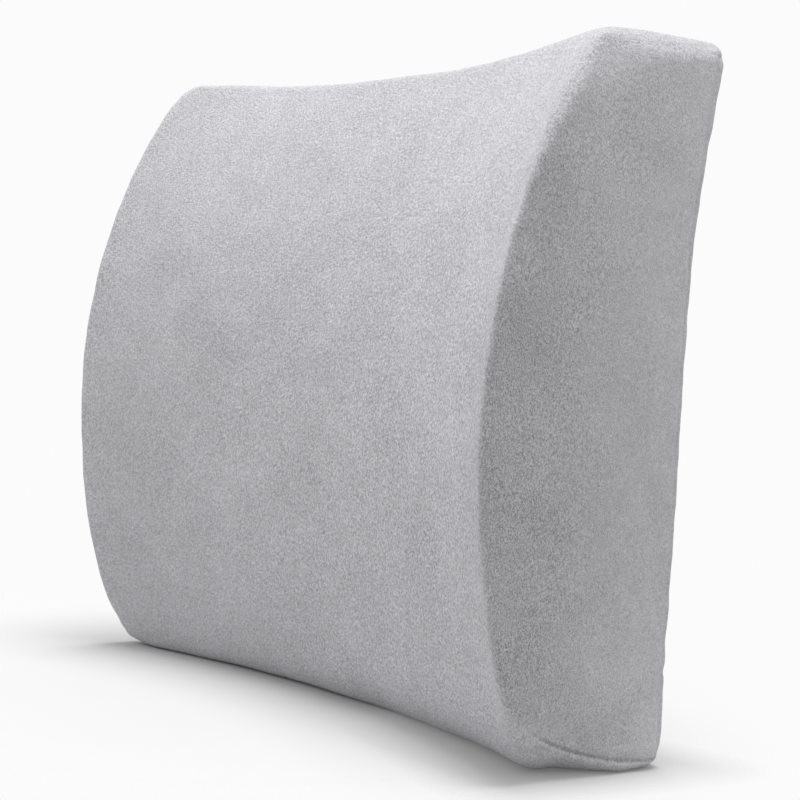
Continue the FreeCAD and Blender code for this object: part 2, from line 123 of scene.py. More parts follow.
def form_field(P, inset=0.0):
    """Distance to the whole cushion, inset by some millimetres."""
    x, y, z = P[:, 0], P[:, 1], P[:, 2]
    n = len(P)
    df, gf = front_field(P)
    sx = np.sign(x)
    gs = np.zeros((n, 3)); gs[:, 0] = sx
    ds = np.abs(x) - W2 - 1.6 * smooth(-110, -160, x) * smooth(205, 285, z)
    right = smooth(-20, 20, x)                   # the fabric is pulled in more at the right
    rc = 2.5 + (1.2 + 2.6 * right) * smooth(222, 290, z) + (2.0 + 4.0 * right) * smooth(40, 4, z)
    D, G = fillet(df, gf, ds, gs, rc)
    db, gb = back_field(P)
    D, G = fillet(D, G, db, gb, 8.5 - 3.0 * smooth(225, 290, z))
    gt = np.zeros((n, 3)); gt[:, 2] = 1
    # the top stands a little higher at the left wing, and the right wing's tip is rounder
    crown = H + 2.9 * smooth(-60, -160, x)
    crown += smooth(70, 150, x) * (0.9 * smooth(B - 60, B - 30, y) - 1.3 * smooth(B - 50, B - 80, y))
    tip = smooth(75, 12, np.sqrt((x - W2) ** 2 + (y - B + 61) ** 2))
    D, G = fillet(D, G, z - crown, gt, 7.0 - 2.0 * smooth(-100, -160, x) + 2.5 * smooth(120, 160, x) + 8.0 * tip)
    t = np.clip(x / W2, -1, 1)
    toe = 15.5 + 10.0 * t - 3.5 * t * t
    toe += 8.0 * smooth(-0.15, 0.25, t) * smooth(1.0, 0.75, t) - 2.0 * smooth(-0.3, -0.7, t)
    D, G = fillet(D, G, -z, -gt, 4.2 + 4.3 * smooth(B - 20, B - 4, y) + toe * smooth(B - 22, B - 62, y))
    return D + inset, G


def project(P, inset=0.0, rounds=14):
    for _ in range(rounds):
        D, G = form_field(P, inset)
        P = P - D[:, None] * G
    return P


def front_y(x, z):
    """y of the saddle for every x, z."""
    x, z = np.broadcast_arrays(np.asarray(x, float), np.asarray(z, float))
    shape = x.shape
    P = np.stack([x.ravel(), np.full(x.size, B - 70.0), z.ravel()], 1)
    for _ in range(20):
        d, G = front_field(P)
        P[:, 1] -= d / G[:, 1]
    return P[:, 1].reshape(shape)


def back_y(z):
    z = np.asarray(z, float)
    up = np.clip(z - FLARE_Z, 0, None)
    return B + FLARE_R - np.sqrt(FLARE_R ** 2 - up ** 2)


def graded(a, b, step, end=1.2, count=8):
    """Grid lines from a to b, close together near both ends."""
    n = max(2, int(round((b - a - 2 * end * count) / step)))
    low = a + end * np.arange(count)
    high = b - end * np.arange(count)[::-1]
    mid = np.linspace(a + end * count, b - end * count, n + 1)
    return np.concatenate([low, mid, high])


def with_lines(lines, extra):
    """The grid lines with some more, and without those that lie too close to them."""
    extra = np.array(sorted(extra))
    keep = [v for v in lines if np.min(np.abs(extra - v)) > 0.7 or v in (lines[0], lines[-1])]
    return np.array(sorted(set(keep) | set(float(e) for e in extra)))


def grid_faces(idx):
    a, b, c, d = idx[:-1, :-1], idx[1:, :-1], idx[1:, 1:], idx[:-1, 1:]
    return np.stack([a, b, c, d], -1).reshape(-1, 4)


def closed_grid(step, end=1.2, count=8, slot=None):
    """The sharp-edged form as one closed net of quads.

    Returns the points and, for each of the six sides, its array of indices."""
    xs = graded(-W2, W2, step, end, count)
    zs = graded(0.0, H, step, end, count)
    if slot:
        # lines on the edges of the zip opening and close to them
        zs = with_lines(zs, [slot[0] + q for q in (-4.2, -3.0, -2.0, -1.0, 0.0)]
                        + [slot[1] + q for q in (0.0, 1.0, 2.0, 3.0, 4.2)] + [ZIP_Z])
        xs = with_lines(xs, [s * (SLOT_X + q) for s in (-1, 1) for q in (0.0, 1.0, 2.0, 3.2)])
    ts = graded(0.0, 100.0, step, end, count) / 100.0
    nx, nz, nt = len(xs), len(zs), len(ts)
    # distances near the ends stay absolute: t runs 0..1 from front to back
    pts, index = [], {}

    def add(p):
        pts.append(p)
        return len(pts) - 1

    def depth_line(y0, y1):
        length = y1 - y0
        n_in = nt - 2 * count
        low = y0 + end * np.arange(count)
        high = y1 - end * np.arange(count)[::-1]
        mid = np.linspace(y0 + end * count, y1 - end * count, n_in)
        return np.concatenate([low, mid, high])

    X, Z = np.meshgrid(xs, zs, indexing="ij")
    FY = front_y(X, Z)
    BY = back_y(Z)
    P = []
    front = np.arange(nx * nz).reshape(nx, nz)
    P.append(np.stack([X, FY, Z], -1).reshape(-1, 3))
    base = nx * nz
    back = base + np.arange(nx * nz).reshape(nx, nz)
    P.append(np.stack([X, BY, Z], -1).reshape(-1, 3))
    base += nx * nz
    sides = {}
    for name, i in (("left", 0), ("right", nx - 1)):
        idx = np.zeros((nt, nz), int)
        idx[0], idx[-1] = front[i], back[i]
        block = np.zeros((nt - 2, nz, 3))
        for k in range(nz):
            line = depth_line(FY[i, k], BY[i, k])
            block[:, k] = np.stack([np.full(nt - 2, xs[i]), line[1:-1], np.full(nt - 2, zs[k])], -1)
        idx[1:-1] = base + np.arange((nt - 2) * nz).reshape(nt - 2, nz)
        P.append(block.reshape(-1, 3))
        base += (nt - 2) * nz
        sides[name] = idx
    for name, k in (("bottom", 0), ("top", nz - 1)):
        idx = np.zeros((nt, nx), int)
        idx[0], idx[-1] = front[:, k], back[:, k]
        idx[:, 0], idx[:, -1] = sides["left"][:, k], sides["right"][:, k]
        block = np.zeros((nt - 2, nx - 2, 3))
        for i in range(1, nx - 1):
            line = depth_line(FY[i, k], BY[i, k])
            block[:, i - 1] = np.stack([np.full(nt - 2, xs[i]), line[1:-1], np.full(nt - 2, zs[k])], -1)
        idx[1:-1, 1:-1] = base + np.arange((nt - 2) * (nx - 2)).reshape(nt - 2, nx - 2)
        P.append(block.reshape(-1, 3))
        base += (nt - 2) * (nx - 2)
        sides[name] = idx
    sides["front"], sides["back"] = front, back
    return np.concatenate(P), sides, xs, zs


def relax(values, faces, weight, rounds):
    """Draws every point's values towards its neighbours' mean, as far as weight says."""
    e = np.concatenate([faces[:, [k, (k + 1) % 4]] for k in range(4)])
    e = np.unique(np.sort(e, 1), axis=0)
    count = np.bincount(e.ravel(), minlength=len(values)).astype(float)
    count[count == 0] = 1
    for _ in range(rounds):
        mean = np.zeros_like(values)
        for q in range(values.shape[1]):
            mean[:, q] = (np.bincount(e[:, 0], values[e[:, 1], q], len(values))
                          + np.bincount(e[:, 1], values[e[:, 0], q], len(values)))
        values = values + (weight * 0.6)[:, None] * (mean / count[:, None] - values)
    return values


def make_mesh(name, verts, faces, smooth_shade=True):
    """A mesh object from millimetre points and index rows."""
    me = bpy.data.meshes.new(name)
    me.from_pydata([tuple(v) for v in (np.asarray(verts) / 1000.0)], [],
                   [tuple(int(i) for i in f) for f in faces])
    me.validate()
    if smooth_shade:
        me.polygons.foreach_set("use_smooth", [True] * len(me.polygons))
    me.update()
    o = bpy.data.objects.new(name, me)
    bpy.context.scene.collection.objects.link(o)
    return o


def apply_modifiers(o):
    dep = bpy.context.evaluated_depsgraph_get()
    dep.update()
    me = bpy.data.meshes.new_from_object(o.evaluated_get(dep))
    old = o.data
    o.modifiers.clear()
    o.data = me
    me.name = o.name
    bpy.data.meshes.remove(old)
    return o


# ------------------------------------------------------------------- materials
def new_material(name):
    m = bpy.data.materials.new(name)
    m.use_nodes = True
    nt = m.node_tree
    nt.nodes.clear()
    out = nt.nodes.new("ShaderNodeOutputMaterial")
    bsdf = nt.nodes.new("ShaderNodeBsdfPrincipled")
    nt.links.new(bsdf.outputs["BSDF"], out.inputs["Surface"])
    return m, nt, bsdf


def node(nt, kind, **values):
    n = nt.nodes.new(kind)
    for k, v in values.items():
        if hasattr(n, k):
            setattr(n, k, v)
        else:
            n.inputs[k].default_value = v
    return n


def noise_tex(nt, vector, scale, detail=2.0, rough=0.5, distortion=0.0):
    n = nt.nodes.new("ShaderNodeTexNoise")
    n.inputs["Scale"].default_value = scale
    n.inputs["Detail"].default_value = detail
    n.inputs["Roughness"].default_value = rough
    n.inputs["Distortion"].default_value = distortion
    nt.links.new(vector, n.inputs["Vector"])
    return n.outputs["Fac"]


def ramp(nt, fac, lo, hi, a=0.0, b=1.0):
    n = nt.nodes.new("ShaderNodeMapRange")
    n.inputs["From Min"].default_value = lo
    n.inputs["From Max"].default_value = hi
    n.inputs["To Min"].default_value = a
    n.inputs["To Max"].default_value = b
    nt.links.new(fac, n.inputs["Value"])
    return n.outputs["Result"]


def math_node(nt, op, a, b):
    n = nt.nodes.new("ShaderNodeMath")
    n.operation = op
    for socket, v in zip(n.inputs, (a, b)):
        if isinstance(v, (int, float)):
            socket.default_value = v
        else:
            nt.links.new(v, socket)
    return n.outputs["Value"]


def scaled_vector(nt, vector, scale):
    n = nt.nodes.new("ShaderNodeMapping")
    n.inputs["Scale"].default_value = scale
    nt.links.new(vector, n.inputs["Vector"])
    return n.outputs["Vector"]


def colour_between(nt, fac, a, b):
    n = nt.nodes.new("ShaderNodeMix")
    n.data_type = "RGBA"
    n.inputs[6].default_value = (*a, 1)
    n.inputs[7].default_value = (*b, 1)
    nt.links.new(fac, n.inputs[0])
    return n.outputs[2]


def velour(name, dark=(0.236, 0.234, 0.247), light=(0.702, 0.697, 0.726), depth=0.0008):
    """Short-pile plush: fine speckle of tufts, a nap that lies in soft patches, and sheen.

    On the side panels the pile is shaggier, and their colour carries painted light and shade:
    darker beside the front edge and low down, lighter towards the back, the top, the lower
    back corner and the top of the front edge. The lower seam has a painted shadow line
    with a painted highlight just below it."""
    m, nt, bsdf = new_material(name)
    co = nt.nodes.new("ShaderNodeTexCoord").outputs["Object"]
    xyz = nt.nodes.new("ShaderNodeSeparateXYZ")
    nt.links.new(co, xyz.inputs[0])
    across = math_node(nt, "ABSOLUTE", xyz.outputs["X"], 0.0)
    flank = ramp(nt, across, (W2 - 3.0) / 1000.0, (W2 - 0.4) / 1000.0)
    # the side panel's lower seam drops from the front edge towards the back
    reach = math_node(nt, "MAXIMUM", math_node(nt, "SUBTRACT", (B - 4.0) / 1000.0, xyz.outputs["Y"]), 0.0)
    drop = math_node(nt, "MULTIPLY", math_node(nt, "POWER", reach, 2.25), 6.18)
    over = math_node(nt, "SUBTRACT", math_node(nt, "SUBTRACT", xyz.outputs["Z"], drop), 0.0044)
    edge = ramp(nt, across, (W2 - 20.0) / 1000.0, (W2 - 12.0) / 1000.0)
    edge = math_node(nt, "MULTIPLY", edge, ramp(nt, reach, 0.062, 0.074, 1.0, 0.0))
    # painted shade and highlight at the side panel's lower seam: a dark line along the seam, which is also sunk in
    # the bump, and a light line just below it
    seam_groove_and_shade = math_node(nt, "MULTIPLY", edge, ramp(nt, math_node(nt, "ABSOLUTE", over, 0.0), 0.0003, 0.0010, 1.0, 0.0))
    seam_painted_highlight = math_node(nt, "ABSOLUTE", math_node(nt, "ADD", over, 0.0014), 0.0)
    seam_painted_highlight = math_node(nt, "MULTIPLY", edge, ramp(nt, seam_painted_highlight, 0.0002, 0.0010, 1.0, 0.0))
    flank = math_node(nt, "MULTIPLY", flank, ramp(nt, over, -0.0010, 0.0006))
    # how far behind the front edge, along the side
    arm = nt.nodes.new("ShaderNodeVectorMath")
    arm.operation = "SUBTRACT"
    nt.links.new(co, arm.inputs[0])
    arm.inputs[1].default_value = (0.0, ARCH_Y / 1000.0, ARCH_Z / 1000.0)
    flat = scaled_vector(nt, arm.outputs["Vector"], (0, 1, 1))
    span = nt.nodes.new("ShaderNodeVectorMath")
    span.operation = "LENGTH"
    nt.links.new(flat, span.inputs[0])
    behind = math_node(nt, "SUBTRACT", ARCH_R / 1000.0, span.outputs["Value"])
    near = math_node(nt, "MULTIPLY", flank, ramp(nt, behind, 0.0, 0.042, 1.0, 0.0))
    # mask for painted light near the top of the side panel's front edge
    upper = math_node(nt, "MULTIPLY", ramp(nt, xyz.outputs["Z"], 0.225, 0.285),
                      ramp(nt, xyz.outputs["Y"], (B - 57.0) / 1000.0, (B - 36.0) / 1000.0, 1.0, 0.0))
    # the pile is crisper towards the right wing, and crispest beside the front edge
    ahead = ramp(nt, xyz.outputs["Y"], (B - 28.0) / 1000.0, (B - 10.0) / 1000.0, 1.0, 0.0)
    wing = ramp(nt, xyz.outputs["X"], -0.17, 0.17, -0.16, 0.38)
    shoulder = ramp(nt, across, (W2 - 18.0) / 1000.0, (W2 - 5.0) / 1000.0, 1.0, 0.0)
    wing = math_node(nt, "MULTIPLY", math_node(nt, "MULTIPLY", wing, ahead), shoulder)
    crisp = math_node(nt, "ADD", math_node(nt, "ADD", wing, 0.60),
                      math_node(nt, "MULTIPLY", near, 0.30))
    crisp = math_node(nt, "SUBTRACT", crisp, math_node(nt, "MULTIPLY", flank, 0.16))
    vec = scaled_vector(nt, co, (1, 1, 0.75))
    tuft = math_node(nt, "ADD",
                     math_node(nt, "MULTIPLY", noise_tex(nt, vec, 1250.0, 2.0, 0.72), math_node(nt, "SUBTRACT", 1.0, flank)),
                     math_node(nt, "MULTIPLY", noise_tex(nt, vec, 1750.0, 2.0, 0.72), flank))
    clump = noise_tex(nt, scaled_vector(nt, co, (1, 1, 0.9)), 560.0, 2.0, 0.6, 0.5)
    nap = noise_tex(nt, co, 26.0, 3.0, 0.6, 0.8)
    broad = noise_tex(nt, co, 7.0, 2.0, 0.5)
    a = math_node(nt, "MULTIPLY", math_node(nt, "SUBTRACT", ramp(nt, tuft, 0.36, 0.64), 0.5), crisp)
    a = math_node(nt, "ADD", a, 0.335)
    b = math_node(nt, "MULTIPLY", ramp(nt, clump, 0.3, 0.7), 0.16)
    c = math_node(nt, "MULTIPLY", ramp(nt, nap, 0.3, 0.7), 0.13)
    d = math_node(nt, "MULTIPLY", ramp(nt, broad, 0.3, 0.7), 0.11)
    fac = math_node(nt, "ADD", math_node(nt, "ADD", a, b), math_node(nt, "ADD", c, d))
    # painted light and shade on the side panels: darker beside the front edge and low down, lighter towards the back,
    # the top and the lower back corner, and the whole panel lighter by a fixed 0.045; the shag term is random tone of
    # the pile
    back = ramp(nt, xyz.outputs["Y"], B / 1000.0 - 0.085, B / 1000.0, -SIDE_PAINTED_LIGHT_Y, SIDE_PAINTED_LIGHT_Y)
    high = ramp(nt, xyz.outputs["Z"], 0.0, H / 1000.0, -SIDE_PAINTED_LIGHT_Z, SIDE_PAINTED_LIGHT_Z)
    shag = math_node(nt, "MULTIPLY", math_node(nt, "SUBTRACT", clump, 0.5), 0.16)
    heel_painted_light = math_node(nt, "MULTIPLY", ramp(nt, xyz.outputs["Z"], 0.0, 0.060, 1.0, 0.0),
                     ramp(nt, xyz.outputs["Y"], B / 1000.0 - 0.038, B / 1000.0 - 0.010, 0.0, 0.28))
    extra = math_node(nt, "ADD", math_node(nt, "ADD", back, high), math_node(nt, "ADD", math_node(nt, "ADD", shag, 0.045), heel_painted_light))
    fac = math_node(nt, "ADD", fac, math_node(nt, "MULTIPLY", extra, flank))
    # painted light: the side panel is lighter near the top of its front edge
    fac = math_node(nt, "ADD", fac, math_node(nt, "MULTIPLY", math_node(nt, "MULTIPLY", near, upper), 0.19))
    # painted shade darkens the seam line, and a painted highlight lightens the fabric just below it
    fac = math_node(nt, "ADD", fac, math_node(nt, "SUBTRACT", math_node(nt, "MULTIPLY", seam_painted_highlight, 0.24),
                                              math_node(nt, "MULTIPLY", seam_groove_and_shade, 0.28)))
    nt.links.new(colour_between(nt, fac, dark, light), bsdf.inputs["Base Color"])
    bsdf.inputs["Roughness"].default_value = 1.0
    bsdf.inputs["Specular IOR Level"].default_value = 0.12
    bsdf.inputs["Sheen Weight"].default_value = 0.35
    bsdf.inputs["Sheen Roughness"].default_value = 0.45
    bsdf.inputs["Sheen Tint"].default_value = (0.95, 0.95, 1.0, 1)
    shaggy = math_node(nt, "ADD", math_node(nt, "MULTIPLY", flank, 0.45), 0.30)
    height = math_node(nt, "ADD", math_node(nt, "MULTIPLY", tuft, 0.7),
                       math_node(nt, "MULTIPLY", clump, shaggy))
    height = math_node(nt, "SUBTRACT", height, math_node(nt, "MULTIPLY", seam_groove_and_shade, 0.45))
    bump = nt.nodes.new("ShaderNodeBump")
    bump.inputs["Strength"].default_value = 1.0
    bump.inputs["Distance"].default_value = depth
    nt.links.new(height, bump.inputs["Height"])
    nt.links.new(bump.outputs["Normal"], bsdf.inputs["Normal"])
    return m


# strengths of the painted light and shade across the side panels, along y and along z
SIDE_PAINTED_LIGHT_Y, SIDE_PAINTED_LIGHT_Z = 0.15, 0.07


# -------------------------------------------------------- camera, light, floor
def camera():
    cam = bpy.data.cameras.new("camera")
    o = bpy.data.objects.new("camera", cam)
    bpy.context.scene.collection.objects.link(o)
    right = Vector((0.60184, 0.79598, 0.06485))
    up = Vector((-0.05529, -0.03948, 0.99769))
    back = Vector((0.79670, -0.60404, 0.02025))
    pos = Vector((0.65124, -0.51730 + B / 1000.0, 0.15839))
    m = Matrix((right, up, back)).transposed().to_4x4()
    m.translation = pos
    o.matrix_world = m
    cam.sensor_fit = "HORIZONTAL"
    cam.sensor_width = 36.0
    cam.lens = 1706.4432 * 36.0 / 800.0
    cam.clip_start = 0.01
    cam.clip_end = 50
    bpy.context.scene.camera = o
    return o


def area(name, location, target, size, power, colour=(1, 1, 1)):
    light = bpy.data.lights.new(name, "AREA")
    light.shape = "DISK"
    light.size = size
    light.energy = power
    light.color = colour
    o = bpy.data.objects.new(name, light)
    bpy.context.scene.collection.objects.link(o)
    o.location = location
    o.rotation_euler = (Vector(target) - Vector(location)).to_track_quat("-Z", "Y").to_euler()
    return o


cam = camera()
scene = bpy.context.scene
scene.view_settings.view_transform = "Standard"
scene.view_settings.look = "None"

# ------------------------------------------------------------- light and floor
def studio(total, ambient, seen=0.965):
    """Soft lamps overhead, an even white ambient and a pale backdrop seen by the camera."""
    world = bpy.data.worlds.new("studio")
    scene.world = world
    world.use_nodes = True
    nt = world.node_tree
    nt.nodes.clear()
    out = nt.nodes.new("ShaderNodeOutputWorld")
    low = nt.nodes.new("ShaderNodeBackground")
    high = nt.nodes.new("ShaderNodeBackground")
    low.inputs["Color"].default_value = (1, 1, 1, 1)
    low.inputs["Strength"].default_value = ambient
    high.inputs["Color"].default_value = (1, 1, 1, 1)
    high.inputs["Strength"].default_value = seen
    mix = nt.nodes.new("ShaderNodeMixShader")
    path = nt.nodes.new("ShaderNodeLightPath")
    nt.links.new(path.outputs["Is Camera Ray"], mix.inputs[0])
    nt.links.new(low.outputs[0], mix.inputs[1])
    nt.links.new(high.outputs[0], mix.inputs[2])
    nt.links.new(mix.outputs[0], out.inputs["Surface"])
    C = Vector((0, 0, H / 2000.0))
    K = Vector((0.80, -0.59, 0)).normalized()
    R = Vector((0.59, 0.80, 0)).normalized()
    U = Vector((0, 0, 1))
    for name, az, el, share in LAMPS:
        a, e = math.radians(az), math.radians(el)
        d = (K * math.cos(a) + R * math.sin(a)) * math.cos(e) + U * math.sin(e)
        area(name, C + d * 2.0, C, 1.2, total * share)


LAMPS = (("lamp_top", 0, 90, 2.213), ("lamp_low", -120, 8, 0.357))
studio(20.0, 0.696)

floor_me = bpy.data.meshes.new("floor")
ring = [(1.6 * math.cos(t * math.pi / 32), 1.6 * math.sin(t * math.pi / 32), 0) for t in range(64)]
floor_me.from_pydata(ring, [], [tuple(range(64))])
floor = bpy.data.objects.new("floor", floor_me)
scene.collection.objects.link(floor)
fm, fnt, fb = new_material("floor_white")
fb.inputs["Base Color"].default_value = (0.61, 0.61, 0.61, 1)
fb.inputs["Roughness"].default_value = 1.0
fb.inputs["Specular IOR Level"].default_value = 0.0
fshift = fnt.nodes.new("ShaderNodeMapping")
fshift.inputs["Location"].default_value = (0.10, 0.03, 0)
fnt.links.new(fnt.nodes.new("ShaderNodeTexCoord").outputs["Object"], fshift.inputs["Vector"])
fco = fshift.outputs["Vector"]
flen = fnt.nodes.new("ShaderNodeVectorMath")
flen.operation = "LENGTH"
fnt.links.new(fco, flen.inputs[0])
fade = fnt.nodes.new("ShaderNodeMapRange")
fade.interpolation_type = "SMOOTHSTEP"
for socket, v in (("From Min", 0.10), ("From Max", 0.34), ("To Min", 0.0), ("To Max", 1.0)):
    fade.inputs[socket].default_value = v
fnt.links.new(flen.outputs["Value"], fade.inputs["Value"])
# close around the footprint the floor stays solid, so the cushion keeps its contact shadow
fxyz = fnt.nodes.new("ShaderNodeSeparateXYZ")
fnt.links.new(fnt.nodes["Texture Coordinate"].outputs["Object"], fxyz.inputs[0])
fdx = math_node(fnt, "SUBTRACT", math_node(fnt, "ABSOLUTE", fxyz.outputs["X"], 0.0), 0.166)
fdy = math_node(fnt, "ADD", fxyz.outputs["Y"], -0.010)
fdy = math_node(fnt, "SUBTRACT", math_node(fnt, "ABSOLUTE", fdy, 0.0), 0.050)
fdx = math_node(fnt, "MULTIPLY", math_node(fnt, "MAXIMUM", fdx, 0.0), 1.25)
fdy = math_node(fnt, "MAXIMUM", fdy, 0.0)
fdd = math_node(fnt, "SQRT", math_node(fnt, "ADD", math_node(fnt, "MULTIPLY", fdx, fdx),
                                       math_node(fnt, "MULTIPLY", fdy, fdy)), 0.0)
foot = ramp(fnt, fdd, -0.004, 0.042)
fclear = fnt.nodes.new("ShaderNodeBsdfTransparent")
fmix = fnt.nodes.new("ShaderNodeMixShader")
fnt.links.new(math_node(fnt, "MINIMUM", fade.outputs["Result"], foot), fmix.inputs[0])
fnt.links.new(fb.outputs["BSDF"], fmix.inputs[1])
fnt.links.new(fclear.outputs[0], fmix.inputs[2])
fnt.links.new(fmix.outputs[0], fnt.nodes["Material Output"].inputs["Surface"])
floor_me.materials.append(fm)


# ------------------------------------------------------------- more materials
def bump_from(nt, bsdf, height, distance, strength=1.0):
    b = nt.nodes.new("ShaderNodeBump")
    b.inputs["Strength"].default_value = strength
    b.inputs["Distance"].default_value = distance
    nt.links.new(height, b.inputs["Height"])
    nt.links.new(b.outputs["Normal"], bsdf.inputs["Normal"])


def wave_tex(nt, vector, scale, direction, distortion=0.0, kind="BANDS"):
    n = nt.nodes.new("ShaderNodeTexWave")
    n.wave_type = kind
    n.bands_direction = direction
    n.inputs["Scale"].default_value = scale
    n.inputs["Distortion"].default_value = distortion
    nt.links.new(vector, n.inputs["Vector"])
    return n.outputs["Fac"]


def woven(name, dark, light, warp, weft, depth, gloss=0.75, sheen=0.1, diagonal=0.0):
    """Woven goods: warp and weft bands, uneven yarn, and a little fluff."""
    m, nt, bsdf = new_material(name)
    co = nt.nodes.new("ShaderNodeTexCoord").outputs["Object"]
    vec = co
    if diagonal:
        mp = nt.nodes.new("ShaderNodeMapping")
        mp.inputs["Rotation"].default_value = (0, math.radians(diagonal), 0)
        nt.links.new(co, mp.inputs["Vector"])
        vec = mp.outputs["Vector"]
    a = wave_tex(nt, vec, warp, "Z", 0.4)
    b = wave_tex(nt, vec, weft, "X", 0.4)
    weave = math_node(nt, "MULTIPLY", a, b)
    yarn = noise_tex(nt, scaled_vector(nt, co, (0.35, 1, 1)), 1500.0, 3.0, 0.6)
    patch = noise_tex(nt, co, 60.0, 3.0, 0.55)
    fac = math_node(nt, "ADD", math_node(nt, "MULTIPLY", weave, 0.5),
                    math_node(nt, "ADD", math_node(nt, "MULTIPLY", yarn, 0.35),
                              math_node(nt, "MULTIPLY", patch, 0.25)))
    nt.links.new(colour_between(nt, fac, dark, light), bsdf.inputs["Base Color"])
    nt.links.new(ramp(nt, yarn, 0.3, 0.7, gloss - 0.08, gloss + 0.1), bsdf.inputs["Roughness"])
    bsdf.inputs["Specular IOR Level"].default_value = 0.3
    bsdf.inputs["Sheen Weight"].default_value = sheen
    bsdf.inputs["Sheen Roughness"].default_value = 0.5
    bump_from(nt, bsdf, math_node(nt, "ADD", weave, math_node(nt, "MULTIPLY", yarn, 0.5)), depth)
    return m


def plastic(name, dark, light, gloss, grain=1400.0, depth=0.00005):
    """Moulded plastic: fine spark-eroded grain, faint flow patches and worn sheen."""
    m, nt, bsdf = new_material(name)
    co = nt.nodes.new("ShaderNodeTexCoord").outputs["Object"]
    fine = noise_tex(nt, co, grain, 3.0, 0.6)
    flow = noise_tex(nt, scaled_vector(nt, co, (1, 1, 0.4)), 90.0, 3.0, 0.5, 0.6)
    rub = noise_tex(nt, co, 300.0, 4.0, 0.65)
    nt.links.new(colour_between(nt, ramp(nt, flow, 0.3, 0.7), dark, light), bsdf.inputs["Base Color"])
    nt.links.new(ramp(nt, rub, 0.3, 0.75, gloss - 0.07, gloss + 0.12), bsdf.inputs["Roughness"])
    bump_from(nt, bsdf, fine, depth, 0.6)
    return m


def metal(name, dark, light, gloss):
    """Die-cast zinc with a brushed nickel finish, rubbed brighter in patches."""
    m, nt, bsdf = new_material(name)
    co = nt.nodes.new("ShaderNodeTexCoord").outputs["Object"]
    brush = noise_tex(nt, scaled_vector(nt, co, (0.08, 1, 1)), 2600.0, 3.0, 0.6)
    rub = noise_tex(nt, co, 420.0, 3.0, 0.6)
    nt.links.new(colour_between(nt, ramp(nt, rub, 0.3, 0.7), dark, light), bsdf.inputs["Base Color"])
    bsdf.inputs["Metallic"].default_value = 1.0
    nt.links.new(ramp(nt, brush, 0.3, 0.7, gloss - 0.06, gloss + 0.14), bsdf.inputs["Roughness"])
    bump_from(nt, bsdf, brush, 0.00002, 0.5)
    return m


def foam_material(name):
    """Open-celled slow foam with the skin of its mould: tiny pores and pale blotches."""
    m, nt, bsdf = new_material(name)
    co = nt.nodes.new("ShaderNodeTexCoord").outputs["Object"]
    cells = nt.nodes.new("ShaderNodeTexVoronoi")
    cells.inputs["Scale"].default_value = 900.0
    nt.links.new(co, cells.inputs["Vector"])
    blot = noise_tex(nt, co, 30.0, 4.0, 0.6)
    pore = ramp(nt, cells.outputs["Distance"], 0.1, 0.6)
    fac = math_node(nt, "ADD", math_node(nt, "MULTIPLY", pore, 0.5), math_node(nt, "MULTIPLY", blot, 0.5))
    nt.links.new(colour_between(nt, fac, (0.72, 0.68, 0.56), (0.88, 0.85, 0.75)), bsdf.inputs["Base Color"])
    bsdf.inputs["Roughness"].default_value = 0.95
    bsdf.inputs["Specular IOR Level"].default_value = 0.2
    bump_from(nt, bsdf, cells.outputs["Distance"], 0.0004)
    return m


M_VELOUR = velour("velour_grey")
M_LINING = woven("lining_white", (0.62, 0.62, 0.62), (0.86, 0.86, 0.85), 560.0, 560.0, 0.0001, 0.7)
M_FOAM = foam_material("foam_cream")
M_TAPE = woven("zip_tape_grey", (0.20, 0.20, 0.21), (0.40, 0.40, 0.415), 520.0, 420.0, 0.00025, 0.7,
               diagonal=28.0)
M_COIL = plastic("coil_nylon_grey", (0.22, 0.22, 0.23), (0.31, 0.31, 0.32), 0.36, 2200.0, 0.00002)
M_METAL = metal("zip_nickel", (0.42, 0.42, 0.43), (0.62, 0.62, 0.63), 0.30)
M_WEB = woven("webbing_grey", (0.115, 0.117, 0.122), (0.27, 0.272, 0.28), 0.001, 330.0, 0.00022, 0.72, 0.15)
M_BUCKLE = plastic("buckle_black", (0.018, 0.018, 0.020), (0.034, 0.034, 0.037), 0.34)
M_THREAD = woven("thread_grey", (0.34, 0.345, 0.355), (0.56, 0.565, 0.58), 900.0, 1400.0, 0.0001, 0.6)
M_THREAD_DARK = woven("thread_dark", (0.15, 0.15, 0.155), (0.32, 0.32, 0.33), 900.0, 1400.0, 0.0001, 0.6)
M_LABEL = woven("label_satin", (0.74, 0.74, 0.73), (0.92, 0.92, 0.91), 1100.0, 300.0, 0.00006, 0.42, 0.2)


# ---------------------------------------------------------------- mesh helpers
def waves(P, seed, wavelength, count=14):
    """Smooth seeded unevenness, about 0.7 rms."""
    rng = np.random.default_rng(seed)
    total = np.zeros(len(P))
    for _ in range(count):
        d = rng.normal(size=3)
        d /= np.linalg.norm(d)
        k = 2 * math.pi / (wavelength * rng.uniform(0.7, 1.45))
        total += np.cos(P @ d * k + rng.uniform(0, 2 * math.pi))
    return total / math.sqrt(count)


def distance_to(points, chains, source):
    """Distance from every point to the nearest of some chains of source points."""
    dense = []
    for chain in chains:
        q = source[chain]
        for t in (0.0, 0.25, 0.5, 0.75):
            dense.append(q[:-1] * (1 - t) + q[1:] * t)
        dense.append(q[-1:])
    dense = np.concatenate(dense)
    tree = KDTree(len(dense))
    for k, p in enumerate(dense):
        tree.insert(p, k)
    tree.balance()
    return np.array([tree.find(p)[2] for p in points])


def outward(verts, faces, normals):
    """The faces, each turned so that it looks the way its corners' normals do."""
    v = verts[faces]
    n = np.cross(v[:, 2] - v[:, 0], v[:, 3] - v[:, 1])
    flip = dot(n, normals[faces].mean(1)) < 0
    faces = faces.copy()
    faces[flip] = faces[flip][:, ::-1]
    return faces


